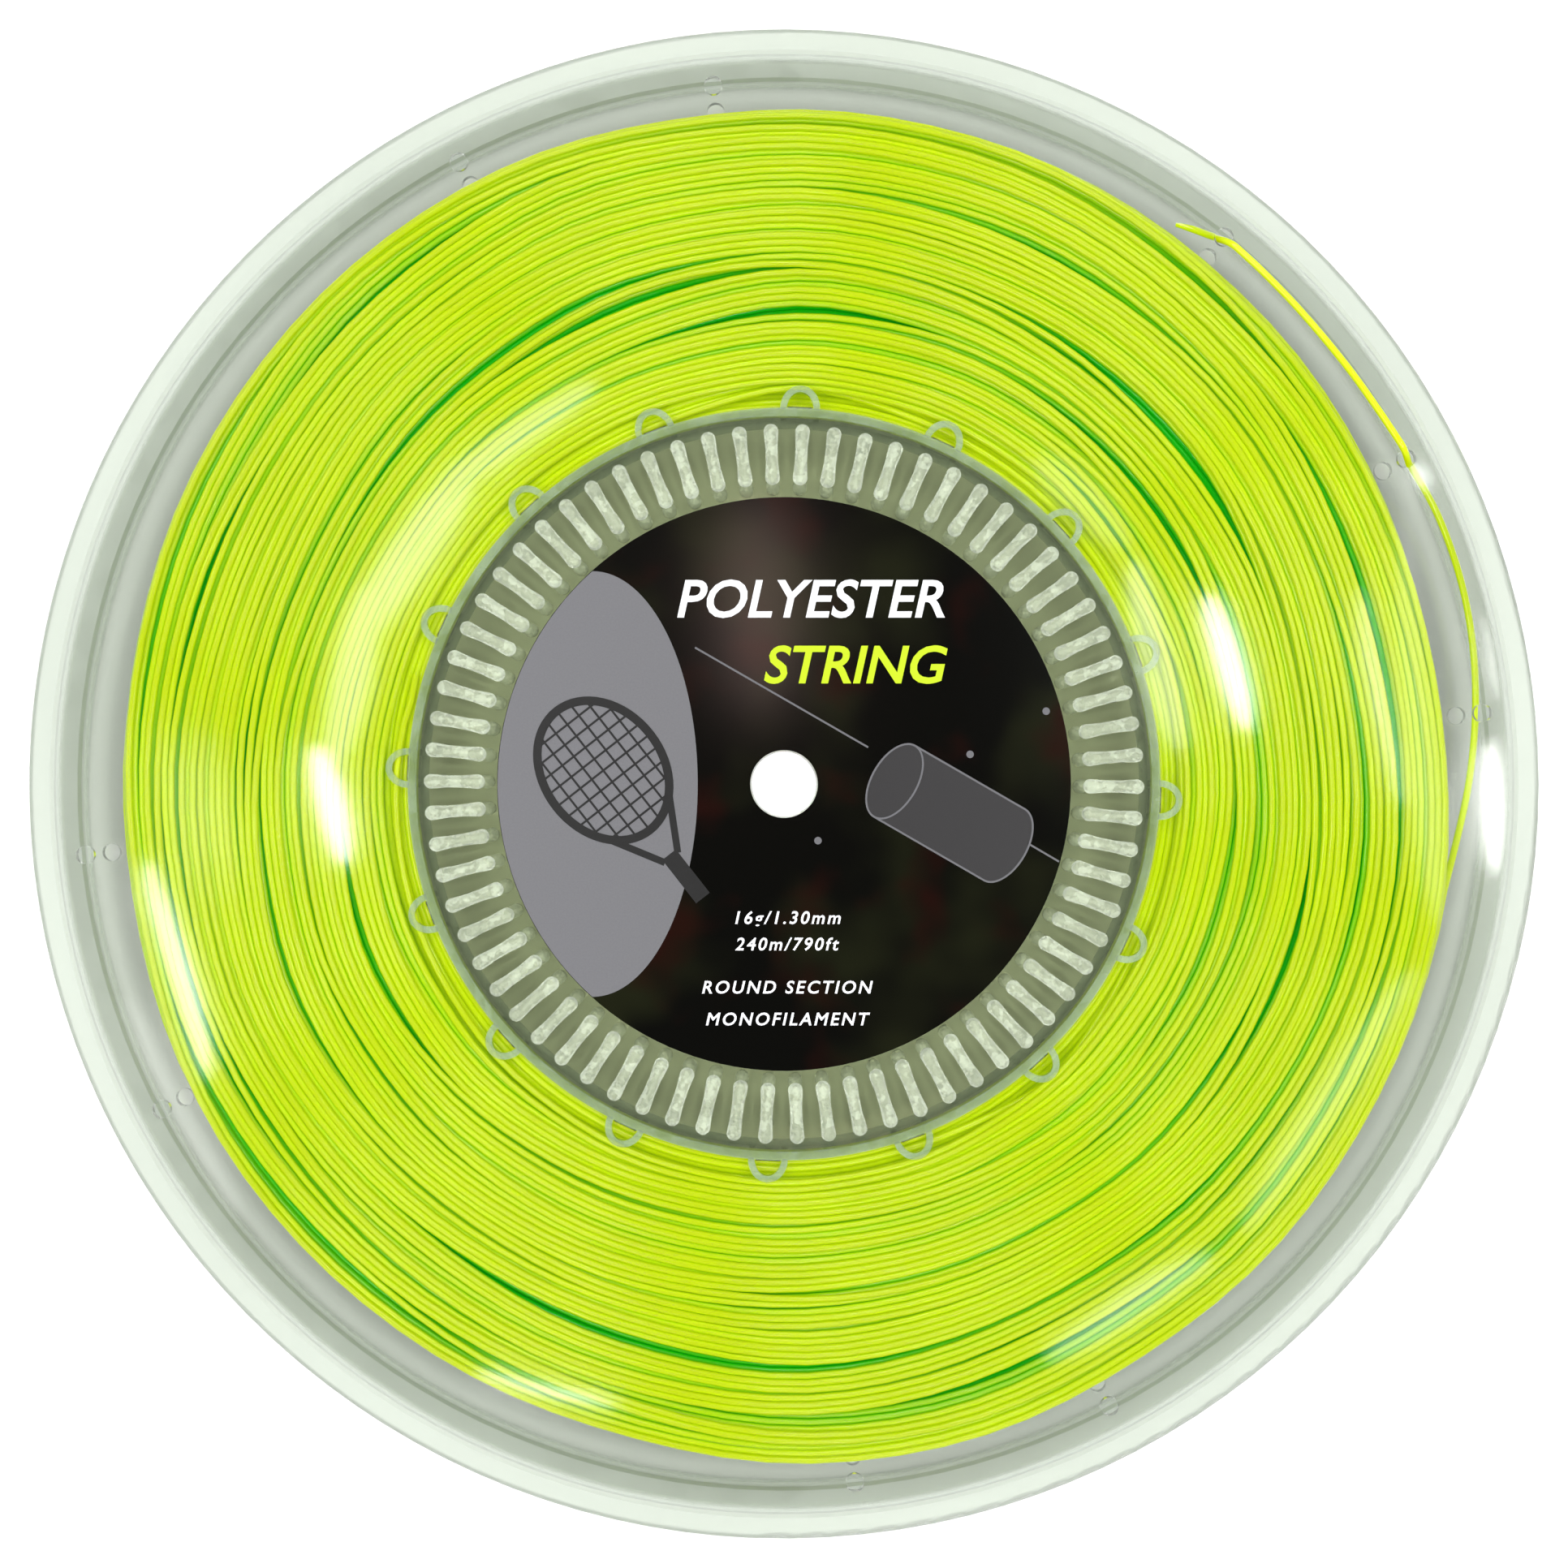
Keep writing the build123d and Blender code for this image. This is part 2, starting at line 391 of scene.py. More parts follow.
line = winding_line()
cuts = np.linspace(0, len(line) - 1, WINDING_PIECES + 1).astype(int)
winding = []
for number, (first, last) in enumerate(zip(cuts, cuts[1:]), start=1):
    strand = round_curve(f"winding_layers_{number}", line[first : last + 1], "POLY", STRAND_SIDES)
    strand.data.splines[0].use_smooth = True
    strand = to_mesh(strand)
    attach(strand, "root")
    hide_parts("string_winding")
    winding.append(strand)
    print(strand.name, len(strand.data.polygons), "faces")
laid = float(np.linalg.norm(np.diff(line, axis=0), axis=1).sum())
print("the wound line is", round(laid, 1), "m long")

# %% [markdown]
# ## A short way to write materials
#
# Shader maths is easier to read as sums than as a web of nodes. `Value` wraps one output socket and
# lets Python's operators add the Math nodes. `Finish` is one material, and its `node` method adds any
# other kind of node.

# %% Helpers for materials
class Value:
    """A number that changes over a surface."""

    def __init__(self, finish, socket):
        self.finish = finish
        self.socket = socket

    def maths(self, operation, first, second):
        return self.finish.node("ShaderNodeMath", {"operation": operation}, {0: first, 1: second})

    def __add__(self, other):
        return self.maths("ADD", self, other)

    __radd__ = __add__

    def __sub__(self, other):
        return self.maths("SUBTRACT", self, other)

    def __rsub__(self, other):
        return self.maths("SUBTRACT", other, self)

    def __mul__(self, other):
        return self.maths("MULTIPLY", self, other)

    __rmul__ = __mul__

    def __truediv__(self, other):
        return self.maths("DIVIDE", self, other)

    def least(self, other):
        return self.maths("MINIMUM", self, other)


class Finish:
    """One material with a Principled shader."""

    def __init__(self, name):
        self.material = bpy.data.materials.new(name)
        self.material.use_nodes = True
        self.tree = self.material.node_tree
        self.shader = self.tree.nodes["Principled BSDF"]
        self.output = self.tree.nodes["Material Output"]

    def node(self, kind, settings=None, values=None, output=0):
        """Adds a node, sets it up, fills its inputs and gives one of its outputs."""
        made = self.tree.nodes.new(kind)
        for name, value in (settings or {}).items():
            setattr(made, name, value)
        for name, value in (values or {}).items():
            self.fill(made.inputs[name], value)
        return Value(self, made.outputs[output])

    def fill(self, socket, value):
        """Links a Value to an input, or sets the input to a constant."""
        if isinstance(value, Value):
            self.tree.links.new(value.socket, socket)
        else:
            socket.default_value = value

    def set(self, **values):
        """Fills inputs of the Principled shader; an underscore stands for a space."""
        for name, value in values.items():
            self.fill(self.shader.inputs[name.replace("_", " ")], value)

    def ramp(self, value, low, high):
        """Goes from 0 to 1 as the value goes from low to high, smoothly."""
        settings = {"interpolation_type": "SMOOTHSTEP"}
        return self.node("ShaderNodeMapRange", settings, {0: value, 1: low, 2: high})

    def mix(self, share, first, second):
        """A colour between two colours. Sockets 6 and 7 and output 2 are the Mix node's colour ones."""
        settings = {"data_type": "RGBA"}
        return self.node("ShaderNodeMix", settings, {0: share, 6: first, 7: second}, 2)

    def noise(self, place, scale, detail=2.0, rough=0.5):
        """A cloudy value from 0 to 1."""
        values = {"Vector": place, "Scale": scale, "Detail": detail, "Roughness": rough}
        return self.node("ShaderNodeTexNoise", {}, values)

    def bump(self, height, distance, strength=1.0, under=None):
        """A surface relief of that height in metres, for the Normal input."""
        values = {"Height": height, "Distance": distance, "Strength": strength}
        if under:
            values["Normal"] = under
        return self.node("ShaderNodeBump", {}, values)

    def place(self):
        """The point on the piece, and its X, Y, Z and distance from the reel's axis."""
        point = self.node("ShaderNodeTexCoord", output="Object")
        across = [self.node("ShaderNodeSeparateXYZ", {}, {0: point}, axis) for axis in range(3)]
        flat = self.node("ShaderNodeCombineXYZ", {}, {0: across[0], 1: across[1]})
        radius = self.node("ShaderNodeVectorMath", {"operation": "LENGTH"}, {0: flat}, "Value")
        return point, across[0], across[1], across[2], radius


print("material helpers ready")

# %% [markdown]
# ## The string's plastic
#
# The string is a fluorescent yellow-green polyester line. Light that goes down between the strands is
# filtered each time it meets one, and it loses its red first, so the gaps look deep green. The light
# paths in the render do part of that. The rest is painted shade: the colour turns dark green with how
# deep a point lies under the nearest open side of the winding: the front, the rear, the outside or the
# clear wall of the drum. Depth counts less from the last two, because light comes in there along the
# gaps. The dye is fluorescent, so the string also gives off a little light of its own colour; this glow
# is painted light too, green in the deep parts, where it lightens the shaded gaps.

# %% String material
WINDING_RADIUS = 127 * MM
# Depths over which the painted shade turns the string's colour dark green.
PAINTED_SHADE_DEPTH = 0.8 * MM, 2.6 * MM       # where the colour starts to turn green and where it is all green


def string_finish():
    """Glossy yellow-green line, with painted shade that makes it greener the deeper it lies in the
    winding.
    """
    finish = Finish("yellow_green_string")
    point, x, y, height, radius = finish.place()
    under_front = drum_high.z - height
    under_rear = height - drum_low.z
    under_outside = 0.4 * (WINDING_RADIUS - radius)
    above_drum = 0.25 * (radius - DRUM_RADIUS)
    depth = under_front.least(under_rear).least(under_outside).least(above_drum)
    painted_shade = finish.ramp(depth, *PAINTED_SHADE_DEPTH)
    patches = finish.noise(point, 60, 2)
    bright = finish.mix(patches, (0.53, 0.67, 0.0, 1), (0.62, 0.76, 0.001, 1))
    # Painted shade: deeper points turn dark green.
    colour = finish.mix(painted_shade, bright, (0.004, 0.42, 0.0, 1))
    # A glow that is partly the dye's fluorescence and partly painted light: yellow-green near the
    # surface, green deep in the gaps, where it lightens the shade.
    glow = finish.mix(painted_shade, (0.25, 0.31, 0.0, 1), (0.0, 0.24, 0.0, 1))
    grain = finish.noise(point, 2500, 1)
    finish.set(Base_Color=colour, Roughness=0.1 + 0.05 * patches, Normal=finish.bump(grain, 0.004 * MM))
    finish.set(Emission_Color=glow)
    finish.shader.inputs["Emission Strength"].default_value = 0.4
    finish.shader.inputs["IOR"].default_value = 1.5
    finish.shader.inputs["Coat Weight"].default_value = 0.1
    finish.shader.inputs["Coat Roughness"].default_value = 0.04
    return finish.material


string_material = string_finish()


def paint(item, material):
    """Gives a piece one material."""
    item.data.materials.clear()
    item.data.materials.append(material)


for strand in winding + [tail]:
    paint(strand, string_material)
print("string material on", len(winding) + 1, "pieces")

# %% [markdown]
# ## The clear plastic
#
# The flanges and the drum are clear polystyrene: smooth, with a faint grey-green tint, and slightly
# wavy from the mould. The grip ribs are etched in the mould, so they are frosted, and the thick rim
# looks milky. Both mix a second, whiter surface into the clear one, and on the ribs it is stronger in
# white speckles, which are painted glints. The tint holds painted shade and light: where the flanges lie
# inside the drum it is darker and olive, for the shade there and the string's green light, past the
# string it is lighter, and over the rim it is darkest. Glass bends light, and the lamps would then
# reach the string only through noisy paths, so for shadow rays the surface is plainly see-through with
# a faint tint. The drum's wall is seen along its height, as a streaky pale band, so it is made half
# see-through by its alpha instead.

# %% Clear plastic material
RIB_INNER = 55.5 * MM
RIB_OUTER = 67.1 * MM
# The painted shade inside the drum fades out between the first two radii, and the painted light past the
# string fades in between the next two.
DRUM_SHADE_EDGE = 68 * MM, 70.5 * MM          # the tint changes from the first radius to the second
STRING_LIGHT_EDGE = 124.5 * MM, 126.5 * MM
RIM_EDGE = 133.8 * MM, 135 * MM
FACE_EDGE = 0.02 * MM, 0.12 * MM        # where the frost begins and is whole, off the flange's face


def see_through(finish, tint):
    """What a shadow ray meets instead of glass: a plain tint that it passes straight through."""
    light = finish.node("ShaderNodeLightPath", output="Is Shadow Ray")
    passing = finish.node("ShaderNodeBsdfTransparent", {}, {0: tint})
    surface = Value(finish, finish.shader.outputs[0])
    return finish.node("ShaderNodeMixShader", {}, {0: light, 1: surface, 2: passing})


def clear_finish():
    """Clear moulded polystyrene with frosted ribs, a milky rim, painted glints on the ribs, and painted
    shade and light in its tint.
    """
    finish = Finish("clear_plastic")
    point, x, y, height, radius = finish.place()
    on_ribs = finish.ramp(radius, RIB_INNER - 0.4 * MM, RIB_INNER)
    on_ribs = on_ribs * (1 - finish.ramp(radius, RIB_OUTER, RIB_OUTER + 0.2 * MM))
    near, far = FACE_EDGE
    off_faces = finish.ramp(height, drum_low.z + near, drum_low.z + far)
    off_faces = off_faces * (1 - finish.ramp(height, drum_high.z - far, drum_high.z - near))
    frost = on_ribs * off_faces
    stipple = finish.noise(point, 350, 3, 0.6) * frost
    waves = finish.bump(finish.noise(point, 18, 1), 0.5 * MM, 0.25)
    normal = finish.bump(stipple, 0.9 * MM, 1.0, waves)
    # Painted shade: inside the drum the tint is darker and olive, for the shade there and the string's
    # green light.
    painted_drum_shade = 1 - finish.ramp(radius, *DRUM_SHADE_EDGE)
    in_rim = finish.ramp(radius, *RIM_EDGE)
    # Painted light: past the string the tint is lighter.
    painted_light_past_string = finish.ramp(radius, *STRING_LIGHT_EDGE)
    tint = finish.mix(painted_drum_shade, (0.88, 0.89, 0.85, 1), (0.80, 0.83, 0.63, 1))
    tint = finish.mix(painted_light_past_string, tint, (0.94, 0.95, 0.91, 1))
    tint = finish.mix(in_rim, tint, (0.42, 0.46, 0.39, 1))
    finish.set(Base_Color=tint, Roughness=0.05 + 0.05 * frost + 0.2 * in_rim, Normal=normal)
    finish.shader.inputs["IOR"].default_value = 1.5
    finish.shader.inputs["Transmission Weight"].default_value = 1.0
    clear = see_through(finish, (0.93, 0.95, 0.93, 1))
    etched = finish.node("ShaderNodeBsdfPrincipled")
    etched_inputs = etched.socket.node.inputs
    etched_inputs["Base Color"].default_value = (0.86, 0.92, 0.84, 1)
    etched_inputs["Roughness"].default_value = 0.18
    etched_inputs["Transmission Weight"].default_value = 0.2
    finish.fill(etched_inputs["Normal"], normal)
    # Painted glints: the whiter surface is stronger in white speckles on the ribs.
    painted_glints = finish.ramp(finish.noise(point, 450, 2), 0.5, 0.6)
    share = frost * (0.4 + 0.3 * painted_glints) + 0.3 * in_rim
    both = finish.node("ShaderNodeMixShader", {}, {0: share, 1: clear, 2: etched})
    finish.fill(finish.output.inputs["Surface"], both)
    return finish.material


def drum_finish():
    """The drum's plastic: seen edge-on, its wall looks like milky grey-green glass."""
    finish = Finish("milky_clear_plastic")
    point, x, y, height, radius = finish.place()
    streaks = finish.noise(point, 160, 2)
    colour = finish.mix(streaks, (0.34, 0.46, 0.33, 1), (0.55, 0.66, 0.55, 1))
    finish.set(Base_Color=colour, Roughness=0.08 + 0.1 * streaks, Alpha=0.26 + 0.22 * streaks)
    finish.shader.inputs["IOR"].default_value = 1.5
    finish.shader.inputs["Coat Weight"].default_value = 0.6
    return finish.material


clear_material = clear_finish()
for name in ("rear_flange", "front_flange"):
    paint(nodes[name], clear_material)
paint(nodes["hub_drum"], drum_finish())
print("clear plastic on the flanges and the drum")

# %% [markdown]
# ## The label
#
# The label is a satin black film. Its print is generic: what the reel holds, its gauge and length. Ink
# shapes are flat curves and text, lifted by a hair and turned into meshes, because mesh edges stay
# crisp at any distance and a painted mask would need a very large picture.

# %% Label film material
def film_finish():
    """Black printed film, with a faint brown and olive cloudiness."""
    finish = Finish("black_film")
    point, x, y, height, radius = finish.place()
    cloud = finish.ramp(finish.noise(point, 40, 2), 0.45, 0.75)
    warm = finish.ramp(finish.noise(point, 65, 2), 0.5, 0.8)
    colour = finish.mix(cloud, (0.002, 0.002, 0.0015, 1), (0.009, 0.010, 0.004, 1))
    colour = finish.mix(warm, colour, (0.014, 0.003, 0.002, 1))
    finish.set(Base_Color=colour, Roughness=0.12)
    return finish.material


def ink_finish(name, colour):
    """Flat printing ink with a fine grain."""
    finish = Finish(name)
    point = finish.place()[0]
    grain = finish.noise(point, 3000, 2)
    darker = tuple(0.8 * part for part in colour[:3]) + (1,)
    finish.set(Base_Color=finish.mix(grain, darker, colour), Roughness=0.3 + 0.1 * grain)
    return finish.material


paint(nodes["front_label"], film_finish())
white_ink = ink_finish("white_ink", (0.85, 0.86, 0.9, 1))
yellow_ink = ink_finish("yellow_ink", (0.50, 0.68, 0.003, 1))
grey_ink = ink_finish("grey_ink", (0.145, 0.145, 0.155, 1))
line_ink = ink_finish("line_ink", (0.13, 0.13, 0.14, 1))
shade_ink = ink_finish("shade_ink", (0.022, 0.021, 0.022, 1))
black_ink = ink_finish("black_ink", (0.004, 0.004, 0.004, 1))
print("label inks ready")

# %% [markdown]
# A printed word starts as a text object. Its size is the height of a capital, it is slanted a little,
# and it is turned into a mesh once it stands in its place.

# %% Printed words
INK_LIFT = 0.012 * MM
ink_height = label_top + INK_LIFT


def finish_print(item, material):
    """Makes a flat curve or text a mesh at its place on the label, and gives it its ink."""
    item = to_mesh(item)
    bpy.ops.object.transform_apply(location=True, rotation=True, scale=True)
    paint(item, material)
    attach(item, "root")
    return item


def word(name, text, size, x, y, material, align="CENTER", spacing=1.0, weight=0.0):
    """A word printed on the label, with its anchor at x and its baseline at y."""
    data = bpy.data.curves.new(name, "FONT")
    data.body = text
    data.size = size
    data.align_x = align
    data.shear = 0.22
    data.space_character = spacing
    data.offset = weight
    data.extrude = INK_LIFT / 2
    data.resolution_u = 4
    item = bpy.data.objects.new(name, data)
    bpy.context.scene.collection.objects.link(item)
    item.location = (x, y, ink_height)
    return finish_print(item, material)


TITLE_SIZE = 9.8 * MM
TITLE_RIGHT = 29.6 * MM
TITLE_LOOK = 1.0, 0.15 * MM             # letter spacing and extra thickness
SMALL_SIZE = 3.3 * MM
SMALL_LOOK = 1.25, 0.055 * MM
SMALL_LINES = [
    ("16g/1.30mm", -25.9),
    ("240m/790ft", -30.8),
    ("ROUND SECTION", -38.8),
    ("MONOFILAMENT", -44.7),
]

word("print_title_upper", "POLYESTER", TITLE_SIZE, TITLE_RIGHT, 31 * MM, white_ink, "RIGHT", *TITLE_LOOK)
word("print_title_lower", "STRING", TITLE_SIZE, TITLE_RIGHT, 18.8 * MM, yellow_ink, "RIGHT", *TITLE_LOOK)
for number, (text, y) in enumerate(SMALL_LINES, start=1):
    word(f"print_line_{number}", text, SMALL_SIZE, 0.4 * MM, y * MM, white_ink, "CENTER", *SMALL_LOOK)
print("words printed")

# %% [markdown]
# The rest of the print is drawn with filled outlines: a grey field on the left, two thin lines and a row
# of dots first. A line is drawn as a narrow bar, and a ring as a bigger oval with a smaller one cut out.

# %% Printed shapes
def flat_shape(name, outlines, material, layer=0):
    """Filled outlines lying on the label; a shape of a later layer lies on top of the earlier ones."""
    data = bpy.data.curves.new(name, "CURVE")
    data.dimensions = "2D"
    data.fill_mode = "BOTH"
    data.extrude = INK_LIFT / 2
    for outline in outlines:
        spline = data.splines.new("POLY")
        spline.points.add(len(outline) - 1)
        corners = np.c_[np.array(outline) * MM, np.zeros(len(outline)), np.ones(len(outline))]
        spline.points.foreach_set("co", corners.ravel())
        spline.use_cyclic_u = True
    item = bpy.data.objects.new(name, data)
    bpy.context.scene.collection.objects.link(item)
    item.location = (0, 0, ink_height + layer * INK_LIFT)
    return finish_print(item, material)


def turning(degrees):
    """The matrix that turns rows of points by that angle."""
    cosine, sine = math.cos(math.radians(degrees)), math.sin(math.radians(degrees))
    return np.array(((cosine, sine), (-sine, cosine)))


def ellipse(centre, across, up, turn=0.0, start=0.0, end=360.0, count=64):
    """Points along an ellipse or a part of it, turned about its centre, in millimetres."""
    angle = np.radians(np.linspace(start, end, count, endpoint=end - start < 360))
    return np.array(centre) + np.c_[across * np.cos(angle), up * np.sin(angle)] @ turning(turn)


def ring(centre, across, up, width, turn=0.0):
    """An oval line of that width, as its outer and inner outlines."""
    half = width / 2
    return [
        ellipse(centre, across + half, up + half, turn),
        ellipse(centre, across - half, up - half, turn),
    ]


def bar(start, end, width):
    """A straight line of that width, as one outline."""
    start, end = np.array(start, float), np.array(end, float)
    aside = (end - start)[::-1] * (1, -1) / np.linalg.norm(end - start) * width / 2
    return np.array([start + aside, end + aside, end - aside, start - aside])


LABEL_EDGE = 53.1       # millimetres, as all of these outlines are
THIN = 0.35             # a thin line's width

field_edge = ellipse((0, 0), LABEL_EDGE, LABEL_EDGE, 0, 132, 228)
field_bulge = ellipse((-35.5, 0), 19.5, 39.46, 0, -90, 90)
flat_shape("print_grey_field", [np.concatenate([field_edge, field_bulge])], grey_ink)
thin_lines = [bar((-16.5, 25.3), (15.6, 6.8), THIN), bar((45.2, -11.0), (51.0, -14.4), THIN)]
flat_shape("print_lines", thin_lines, line_ink)
dots = [ellipse((-36 + 14.1 * step, -34.5 + 8.0 * step), 0.7, 0.7, count=16) for step in (3, 5, 6)]
flat_shape("print_dots", dots, line_ink)
print("field, lines and dots printed")

# %% [markdown]
# The racket head is an oval frame with strings both ways, each ending on the oval, and a short throat
# and handle. The upright strings are one shape and the crosswise ones another, because outlines of the
# same shape that overlap would cut holes in each other.

# %% The racket
HEAD_CENTRE = (-33.5, 2.5)
HEAD_ACROSS = 11.0
HEAD_UP = 14.0
HEAD_TURN = 38
STRING_GAP = 2.7
STRING_WIDTH = 0.4


def racket_bar(start, end, width):
    """A line of the upright racket, turned with its head."""
    placed = np.array([start, end]) @ turning(HEAD_TURN) + HEAD_CENTRE
    return bar(placed[0], placed[1], width)


def half_chord(offset, radius, other):
    """Half the length of a string at that distance from the middle of the oval."""
    return other * math.sqrt(1 - (offset / radius) ** 2)


uprights = []
for step in range(-3, 4):
    x = STRING_GAP * step
    y = half_chord(x, HEAD_ACROSS, HEAD_UP)
    uprights.append(racket_bar((x, -y), (x, y), STRING_WIDTH))
crossings = []
for step in range(-4, 5):
    y = STRING_GAP * step
    x = half_chord(y, HEAD_UP, HEAD_ACROSS)
    crossings.append(racket_bar((-x, y), (x, y), STRING_WIDTH))
throat = [racket_bar((side * 7.0, -10.8), (side * 1.5, -20.5), 1.3) for side in (-1, 1)]
flat_shape("print_racket_uprights", uprights, black_ink, 2)
flat_shape("print_racket_crossings", crossings, black_ink, 4)
flat_shape("print_racket_throat", throat, black_ink, 2)
flat_shape("print_racket_handle", [racket_bar((0, -19.8), (0, -30.0), 3.2)], black_ink, 4)
flat_shape("print_racket_frame", ring(HEAD_CENTRE, HEAD_ACROSS, HEAD_UP, 1.6, HEAD_TURN), black_ink, 6)
print(len(uprights) + len(crossings), "racket strings printed")

# %% [markdown]
# On the right is a short length of round bar, as the string looks when it is cut across. Its outline is
# two sides and half an oval, and its near end is a full oval drawn over it.

# %% The cut string
BAR_NEAR = np.array((20.5, 0.5))
BAR_TURN = -30
BAR_LENGTH = 23.5
BAR_ACROSS = 4.2
BAR_UP = 7.6


def bar_outline(shrink):
    """The bar's whole outline, made smaller by that much all round."""
    across, up = BAR_ACROSS - shrink, BAR_UP - shrink
    far_end = BAR_NEAR + np.array((BAR_LENGTH, 0)) @ turning(BAR_TURN)
    near = ellipse(BAR_NEAR, across, up, BAR_TURN, 90, 270)
    far = ellipse(far_end, across, up, BAR_TURN, -90, 90)
    return np.concatenate([far, near])


flat_shape("print_bar_shade", [bar_outline(THIN / 2)], shade_ink)
flat_shape("print_bar_outline", [bar_outline(-THIN / 2), bar_outline(THIN / 2)], line_ink, 2)
flat_shape("print_bar_end", ring(BAR_NEAR, BAR_ACROSS, BAR_UP, THIN, BAR_TURN), line_ink, 4)
print("cut string printed")

# %% [markdown]
# ## Light
#
# Clear plastic shows mostly what it reflects, so the lamps are placed by their mirror images. A lamp at
# height h over the front face is seen mirrored at a point of the face that is nearer the axis than the
# lamp is, by the ratio of the camera's height to the camera's height plus h. The eight soft boxes that
# light the string stand so far out that their mirror images miss the reel. Small lamps then put the
# white patches and pale bands where a studio's windows and strip lights would.
#
# A lamp's power is worked out from how bright it should look, because the same brightness with another
# size needs another power.

# %% Lamps by their brightness
def lamp(name, place, aim, width, height, brightness, shape="RECTANGLE"):
    """A soft box at a place, turned to its aim. It lights and reflects, and isn't seen itself."""
    data = bpy.data.lights.new(name, "AREA")
    data.shape = shape
    data.size = width
    data.size_y = height
    data.energy = brightness * math.pi * width * height
    item = bpy.data.objects.new(name, data)
    bpy.context.scene.collection.objects.link(item)
    item.location = place
    item.rotation_mode = "QUATERNION"
    item.rotation_quaternion = (Vector(aim) - Vector(place)).to_track_quat("-Z", "Y")
    item.visible_camera = False
    return item


SOFT_BOXES = 8
SOFT_BOX_FIRST_ANGLE = 12
SOFT_BOX_RADIUS = 0.78
SOFT_BOX_HEIGHT = 1.2
SOFT_BOX_SIZE = 0.5, 0.3
SOFT_BOX_BRIGHTNESS = 9.5

for step in range(SOFT_BOXES):
    turned = SOFT_BOX_FIRST_ANGLE + step * 360 / SOFT_BOXES
    place = polar(turned, SOFT_BOX_RADIUS, SOFT_BOX_HEIGHT)
    lamp(f"soft_box_{step + 1}", place, (0, 0, 0), *SOFT_BOX_SIZE, SOFT_BOX_BRIGHTNESS)
print(SOFT_BOXES, "soft boxes")

# %% [markdown]
# Each reflection is given as a place on the front face in millimetres, its size there, how far it is
# turned, and its brightness. Two more of a warm colour lie on the upper half of the black label, which
# mirrors them as a soft glow.

# %% Reflections in the front flange
LAMP_HEIGHT = 0.8
SPREAD = (VIEW_DISTANCE + LAMP_HEIGHT) / VIEW_DISTANCE
REFLECTIONS = [
    ("patch_left", -84, -4, 4.5, 22, 14, 18),
    ("patch_left_outer", -112, -34, 4, 42, 16, 10),
    ("patch_right", 82, 23, 4.5, 26, 14, 18),
    ("patch_right_outer", 131.5, -4, 4.5, 24, 2, 16),
    ("streak_right_rim", 131.5, 24, 2, 16, 8, 8),
    ("patch_right_upper", 118, 56.5, 3, 5, 50, 12),
    ("band_left_upper", -50, 64, 5, 36, -54, 3.0),
    ("band_left", -69, 42, 8, 44, -32, 3.2),
    ("band_left_lower", -80, 20, 7, 34, -12, 3.2),
    ("band_right", 69, 24, 6, 36, 12, 3.5),
    ("band_right_upper", 56, 52, 7, 24, 46, 1.2),
    ("streak_right", 111, 16, 2, 42, 11, 6),
    ("band_right_outer", 118, 12, 5, 76, 5, 1.4),
    ("band_lower_right", 101, -59, 5, 58, -33, 1.8),
    ("band_lower", 64, -97, 5, 36, -60, 3.0),
    ("streak_lower_left", -44, -112, 1.4, 26, 76, 14),
    ("band_left_low", -112, -60, 5, 46, 28, 1.4),
]
WARM = (1, 0.7, 0.62)
WARM_REFLECTIONS = [
    ("warm_glow", -5, 33, 13, 40, 2, 2.2),
    ("warm_glow_upper", -3, 43, 6, 18, 4, 4.5),
]


def reflection(name, x, y, width, height, turn, brightness):
    """An oval lamp whose mirror image lies at that place on the front face."""
    place = Vector((x * MM * SPREAD, y * MM * SPREAD, front_face + LAMP_HEIGHT))
    size = width * MM * SPREAD, height * MM * SPREAD
    item = lamp(f"strip_{name}", place, (place.x, place.y, 0), *size, brightness, "ELLIPSE")
    item.rotation_quaternion = Quaternion((0, 0, 1), math.radians(turn))
    return item


for strip in REFLECTIONS:
    reflection(*strip)
for strip in WARM_REFLECTIONS:
    reflection(*strip).data.color = WARM
print(len(REFLECTIONS + WARM_REFLECTIONS), "small lamps")

# %% [markdown]
# The bore is a deep narrow well, and the label shades the floor under it. A spot lamp straight above,
# with a cone a little narrower than the bore, lights the floor at its bottom and nothing else.

# %% Spot lamp for the bore
SPOT_RADIUS = 6.0 * MM          # about the cone's radius at the front face

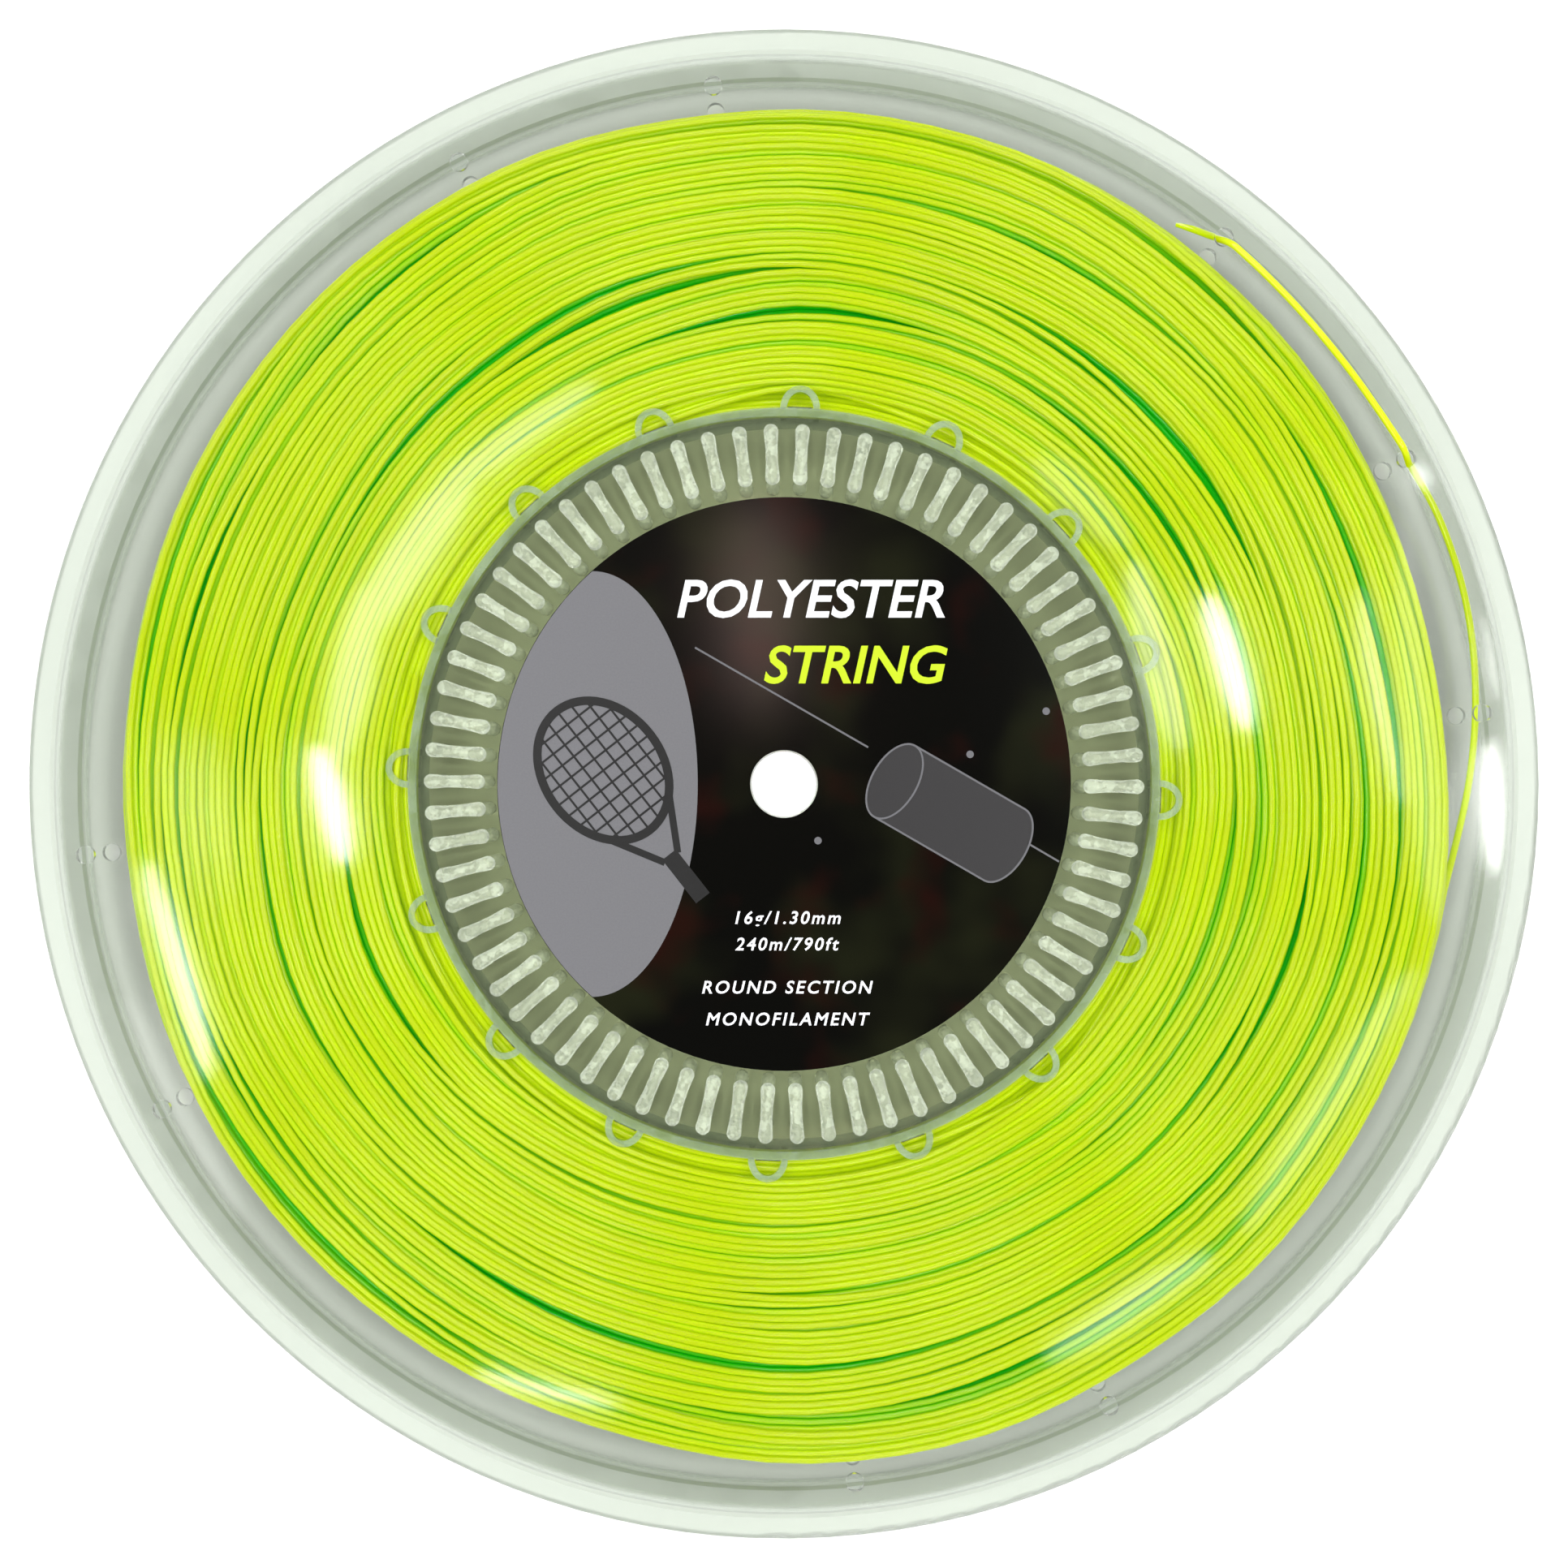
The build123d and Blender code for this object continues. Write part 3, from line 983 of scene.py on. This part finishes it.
spot_data = bpy.data.lights.new("bore_spot", "SPOT")
spot_data.spot_size = 2 * math.atan(SPOT_RADIUS / VIEW_DISTANCE)
spot_data.spot_blend = 0.1
spot_data.shadow_soft_size = 0.2 * MM
spot_data.energy = 11
spot = bpy.data.objects.new("bore_spot", spot_data)
bpy.context.scene.collection.objects.link(spot)
spot.location = (0, 0, front_face + VIEW_DISTANCE + 0.01)
spot.visible_camera = False
print("bore spot, cone of", round(math.degrees(spot_data.spot_size), 2), "degrees")

# %% [markdown]
# ## Floor and surroundings
#
# The floor is a plain white sheet. The surroundings are dim overhead, where the plastic would mirror
# them towards the camera, and paler near the horizon. Light that is bent by the plastic on its way to
# the string is switched off, because the shadow rays already pass straight through.

# %% Floor and world
bpy.ops.mesh.primitive_plane_add(size=6, location=(0, 0, cad_low.z))
floor = bpy.context.view_layer.objects.active
floor.name = "floor"
floor_finish = Finish("pale_floor")
floor_point = floor_finish.place()[0]
floor_tone = floor_finish.noise(floor_point, 3, 2)
floor_colour = floor_finish.mix(floor_tone, (0.90, 0.90, 0.90, 1), (0.93, 0.93, 0.93, 1))
floor_finish.set(Base_Color=floor_colour, Roughness=0.6)
paint(floor, floor_finish.material)

world = bpy.data.worlds.new("studio")
world.use_nodes = True
bpy.context.scene.world = world
tree = world.node_tree
direction = tree.nodes.new("ShaderNodeTexCoord")
parts = tree.nodes.new("ShaderNodeSeparateXYZ")
shade = tree.nodes.new("ShaderNodeMapRange")
shade.interpolation_type = "SMOOTHSTEP"
shade.inputs["From Min"].default_value = 0.55
shade.inputs["From Max"].default_value = 0.95
shade.inputs["To Min"].default_value = 0.35
shade.inputs["To Max"].default_value = 0.02
tree.links.new(direction.outputs["Generated"], parts.inputs[0])
tree.links.new(parts.outputs["Z"], shade.inputs["Value"])
tree.links.new(shade.outputs[0], tree.nodes["Background"].inputs["Strength"])
tree.nodes["Background"].inputs["Color"].default_value = (1, 1, 1, 1)
bpy.context.scene.cycles.caustics_refractive = False
bpy.context.scene.cycles.caustics_reflective = False
bpy.context.scene.view_settings.view_transform = "Standard"
print("floor and world ready")

# %% [markdown]
# ## End

# The visual model has to stay in the CAD model's box.

# %% Finish
print("finished")
